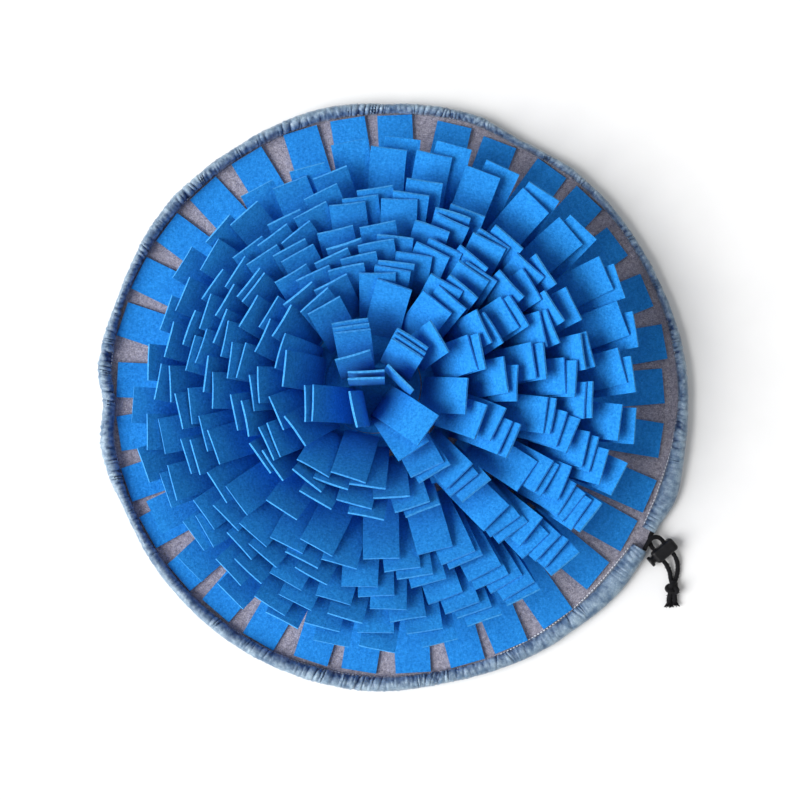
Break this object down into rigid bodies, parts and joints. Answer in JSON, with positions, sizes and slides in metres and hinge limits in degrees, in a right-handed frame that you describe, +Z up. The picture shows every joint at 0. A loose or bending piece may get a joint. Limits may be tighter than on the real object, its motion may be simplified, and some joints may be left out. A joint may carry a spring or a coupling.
{
  "type": "snuffle mat",
  "caption": "Round snuffle mat of blue felt strips sewn on grey felt, with a gathered drawcord casing round its edge and a cord lock.",
  "frame": {"origin": "middle of the mat's underside, on the surface it lies on", "axes": "+Z up through the heap of strips; +X towards the cord lock's side; +Y away from the side the picture shows lowest"},
  "size_m": [0.4811, 0.4791, 0.0784],
  "materials": {
    "grey_felt": "matte",
    "blue_felt": "matte",
    "casing_cloth": "satin",
    "cord_black": "matte",
    "plastic_black": "satin"
  },
  "bodies": {
    "mat": {"base_mat": "grey_felt", "rim_casing": "casing_cloth", "felt_ring_1": "blue_felt", "felt_ring_2": "blue_felt", "felt_ring_3": "blue_felt", "felt_ring_4": "blue_felt", "felt_ring_5": "blue_felt", "felt_ring_6": "blue_felt", "felt_ring_7": "blue_felt", "felt_centre": "blue_felt", "drawcord_north": "cord_black", "drawcord_south": "cord_black", "cord_knot": "cord_black", "cord_lock_body": "plastic_black"},
    "lock_button": {"cord_lock_button": "plastic_black"}
  },
  "joints": [
    {"name": "button_press", "type": "slide", "parent": "mat", "child": "lock_button", "axis": [0.7694, 0.6388, 0], "range_m": [0, 0.0018], "stiffness_N_per_m": 200}
  ]
}
